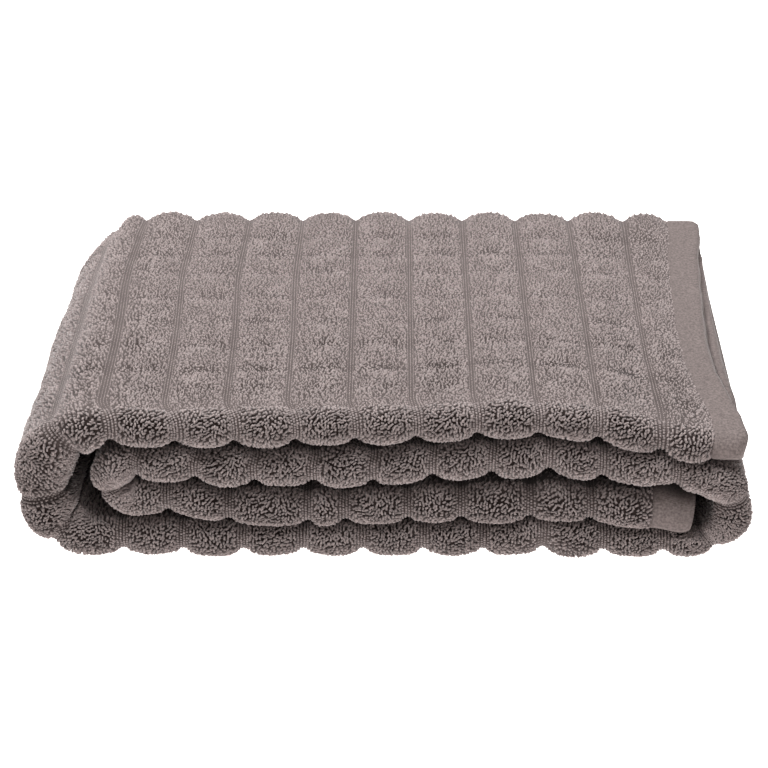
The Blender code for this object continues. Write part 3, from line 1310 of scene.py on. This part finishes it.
        # Loops in the grooves, and those that lie close, are turned square across the roll
        square = math.pi / 2.0
        loose = np.zeros(count) if grooves else np.clip(self.loose_least + self.loose_more * opened, 0.0, 1.0)
        turn = square + (flow - square) * loose + random.normal(0.0, self.turn_chance, count)
        tall, wide = (
            size * (share_shut + change * opened) * random.uniform(low, high, count)
            for size, (share_shut, change, low, high) in ((loop.height, self.tall), (loop.wide, self.wide))
        )
        tall = tall + self.root
        long = loop.long * random.uniform(*self.long, count)
        lean = loop.lean * random.normal(*self.lean, count)
        corners, quads, triangles = self._template(loop.form)
        first = np.cos(turn)[:, None] * along + np.sin(turn)[:, None] * across
        second = -np.sin(turn)[:, None] * along + np.cos(turn)[:, None] * across
        tip_turn = turn + random.normal(0.0, self.tip_chance, count)
        tip = (np.cos(tip_turn)[:, None] * along + np.sin(tip_turn)[:, None] * across) * lean[:, None]
        placed = base[:, None, :]
        placed = placed + corners[None, :, 0, None] * (first * long[:, None])[:, None, :]
        placed = placed + corners[None, :, 1, None] * (second * wide[:, None])[:, None, :]
        placed = placed + corners[None, :, 2, None] * (out * tall[:, None])[:, None, :]
        placed = placed + (corners[None, :, 2, None] ** 2) * tip[:, None, :]
        placed[..., 2] = np.maximum(placed[..., 2], 0.0)
        offsets = (np.arange(count) * len(corners))[:, None, None]
        # Painted shade: each loop is coloured darker towards its root, and darker still where the loops stand
        # open
        shut = (ROOT_SHUT * (1.0 - opened))[:, None]
        height = shut + (1.0 - shut) * corners[None, :, 2] ** self.root_fade
        tone = np.repeat(random.uniform(0.0, 1.0, count), len(corners))
        return (
            placed.reshape(-1, 3),
            (quads[None] + offsets).reshape(-1, 4),
            (triangles[None] + offsets).reshape(-1, 3),
            height.ravel(),
            tone,
        )

    def build(self, area: PileField, material: bpy.types.Material) -> bpy.types.Object:
        """Builds the loops of one stretch as one mesh.

        Args:
            area: The stretch.
            material: The loops' finish.

        Returns:
            The joined loops.
        """
        random = np.random.default_rng(SEED + sum(map(ord, area.name)))
        ribs = self._loops(area, area.on_ribs, False, random)
        grooves = self._loops(area, area.in_grooves, True, random)
        after = len(ribs[0])
        corners = np.concatenate((ribs[0], grooves[0]))
        quads = np.concatenate((ribs[1], grooves[1] + after))
        triangles = np.concatenate((ribs[2], grooves[2] + after))
        piece = add_mesh(area.name, corners, [quads, triangles])
        add_values(piece, "pile_root_shade", np.concatenate((ribs[3], grooves[3])))
        add_values(piece, "loop_tone", np.concatenate((ribs[4], grooves[4])))
        piece.data.materials.append(material)
        return piece


@dataclass
class Towel:
    """The whole towel: its ground cloth and the fields of pile on it."""

    cloth: FoldedCloth
    left_x: float = -0.125
    right_x: float = 0.138
    second_x: float = 0.120

    def fields(self) -> list[PileField]:
        """Lists the fields of pile, from the top to what is hidden.

        Returns:
            One row for each piece of pile.
        """
        ribs = self.cloth.ribs
        left = self.cloth.roll.length_at("top", self.left_x)
        low = self.cloth.roll.length_at("bottom", self.left_x)
        right = self.cloth.roll.length_at("bottom", self.right_x)
        second = self.cloth.roll.length_at("second", self.second_x)
        middle = (ribs.first + ribs.last) / 2.0
        top_middle = (ribs.first + left) / 2.0
        # Form, spacing along and across the roll, height, width, length and lean in mm, and share of wander
        curly = Loop.in_mm(LoopForm.ARCH, 1.66, 1.74, 1.6, 0.98, 1.80, 0.7, 0.65)
        fine = Loop.in_mm(LoopForm.NUB, 1.26, 1.32, 0.9, 1.00, 1.55, 0.8, 0.9)
        side = Loop.in_mm(LoopForm.NUB, 1.60, 1.70, 1.1, 1.20, 1.90, 0.9, 0.8)
        stood = Loop.in_mm(LoopForm.NUB, 1.70, 1.80, 1.8, 0.95, 1.60, 0.8, 0.8)
        plain = Loop.in_mm(LoopForm.NUB, 2.50, 2.50, 1.1, 1.80, 2.70, 1.0, 0.8)
        dot = Loop.in_mm(LoopForm.ARCH, 1.60, 1.80, 0.9, 1.00, 1.15, 0.2, 0.20)
        fine_dot = Loop.in_mm(LoopForm.NUB, 1.45, 1.70, 0.5, 1.10, 1.25, 0.1, 0.12)
        # The loops on the ribs, those in the grooves, and half the width of a groove
        front = (curly, dot, 3.2 * MM)
        flat = (fine, fine_dot, 2.0 * MM)
        sides, hidden, inside = ((loop, fine_dot, 2.9 * MM) for loop in (side, plain, stood))
        # Name, stretch of the outline, start and end along the roll, near and far share of the stretch, loops
        return [
            PileField("pile_front_a", Part.FRONT_FOLD, ribs.first, middle, 0.0, 1.0, *front),
            PileField("pile_front_b", Part.FRONT_FOLD, middle, ribs.last, 0.0, 1.0, *front),
            PileField("pile_top_a", Part.OUTER_PLY_OUT, ribs.first, top_middle, 0.0, 1.0, *flat),
            PileField("pile_top_b", Part.OUTER_PLY_OUT, top_middle, left, 0.0, 1.0, *flat),
            PileField("pile_left", Part.OUTER_PLY_OUT, left, low, 0.0, 1.0, *sides),
            PileField("pile_bottom", Part.OUTER_PLY_OUT, low, right, 0.0, 1.0, *hidden),
            PileField("pile_right", Part.OUTER_PLY_OUT, right, second, 0.0, 1.0, *sides),
            PileField("pile_inner_layers", Part.OUTER_PLY_OUT, second, ribs.last, 0.0, 0.08, *sides),
            PileField("pile_inner_bend", Part.INNER_PLY_OUT, left, low, 0.30, 1.0, *inside),
            PileField("pile_inner_face", Part.INNER_PLY_OUT, low, ribs.last, 0.86, 1.0, *hidden),
            PileField("pile_back_fold", Part.BACK_FOLD, ribs.first, ribs.last, 0.0, 1.0, *hidden),
            PileField("pile_back_selvedge", Part.BACK_SELVEDGE, ribs.first, ribs.last, 0.0, 1.0, *hidden),
        ]

    def build(self, terry: bpy.types.Material, hem: bpy.types.Material) -> list[bpy.types.Object]:
        """Builds every piece of the towel and ties it to its solid.

        Args:
            terry: The finish of the pile.
            hem: The finish of the hems.

        Returns:
            The pieces, the ground cloth first.
        """
        ground = GroundCloth(self.cloth).build(terry, hem)
        pile = TerryPile(self.cloth)
        loops = [pile.build(area, terry) for area in self.fields()]
        for piece in (ground, *loops):
            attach(piece, "root")
            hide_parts("towel")
        return [ground, *loops]


@dataclass(frozen=True)
class PhotoCamera:
    """The camera, worked out from where the grooves meet and from the stack's depth."""

    place: tuple[float, float, float] = (0.0054, -1.0874, 0.6153)
    elevation: float = 28.0
    turn_left: float = 0.285
    lens: float = 108.08
    sensor: float = 36.0
    sees_to: float = 20.0

    def build(self) -> bpy.types.Object:
        """Makes the scene's camera.

        Returns:
            The camera.
        """
        data = bpy.data.cameras.new("photo_camera")
        data.lens = self.lens
        data.sensor_width = self.sensor
        data.clip_end = self.sees_to
        camera = bpy.data.objects.new("photo_camera", data)
        camera.location = self.place
        camera.rotation_euler = (math.radians(90.0 - self.elevation), 0.0, math.radians(self.turn_left))
        bpy.context.scene.collection.objects.link(camera)
        bpy.context.scene.camera = camera
        return camera


@dataclass(frozen=True)
class Studio:
    """A plain pale floor and plain soft light."""

    floor_size: float = 6.0
    room_colour: str = "FFF6F2"
    room_strength: float = 0.26
    key_place: tuple[float, float, float] = (-0.25, 0.05, 1.7)
    key_power: float = 68.0
    fill_place: tuple[float, float, float] = (0.35, -1.7, 0.9)
    fill_power: float = 2.0
    lamp_size: float = 1.3
    aim: tuple[float, float, float] = (0.0, 0.0, 0.04)

    def build(self, board: bpy.types.Material) -> None:
        """Makes the floor, the world and the lights.

        Args:
            board: The floor's finish.
        """
        half = self.floor_size / 2.0
        corners = np.array([(-half, -half, 0.0), (half, -half, 0.0), (half, half, 0.0), (-half, half, 0.0)])
        floor = add_mesh("floor", corners, [np.array([[0, 1, 2, 3]])], smooth=False)
        floor.data.materials.append(board)
        world = bpy.data.worlds.new("pale_room")
        world.use_nodes = True
        back = world.node_tree.nodes["Background"]
        back.inputs["Color"].default_value = linear(self.room_colour)
        back.inputs["Strength"].default_value = self.room_strength
        bpy.context.scene.world = world
        bpy.context.scene.view_settings.view_transform = "Standard"
        self._lamp("key_light", self.key_place, self.key_power)
        self._lamp("fill_light", self.fill_place, self.fill_power)

    def _lamp(self, name: str, place: tuple[float, float, float], power: float) -> None:
        """Adds one soft square light that faces the towel.

        Args:
            name: The light's name.
            place: Where it stands.
            power: Its power in watts.
        """
        data = bpy.data.lights.new(name, "AREA")
        data.energy = power
        data.size = self.lamp_size
        lamp = bpy.data.objects.new(name, data)
        lamp.location = place
        lamp.rotation_euler = (Vector(self.aim) - Vector(place)).to_track_quat("-Z", "Y").to_euler()
        bpy.context.scene.collection.objects.link(lamp)


def main() -> None:
    """Builds the towel, the camera and the studio, and reports each piece."""
    logging.basicConfig(level=logging.INFO, format="%(message)s")
    log = logging.getLogger("towel")
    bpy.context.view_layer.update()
    PhotoCamera().build()
    Studio().build(PaleBoard().make())
    towel = Towel(FoldedCloth(ClothSizes(), PileRelief(), PileOpening()))
    for piece in towel.build(TerryCotton().make(), WovenHem().make()):
        sides = np.empty(len(piece.data.polygons), dtype=np.int32)
        piece.data.polygons.foreach_get("loop_total", sides)
        log.info("%s: %d triangles", piece.name, int((sides - 2).sum()))


if __name__ == "__main__":
    main()
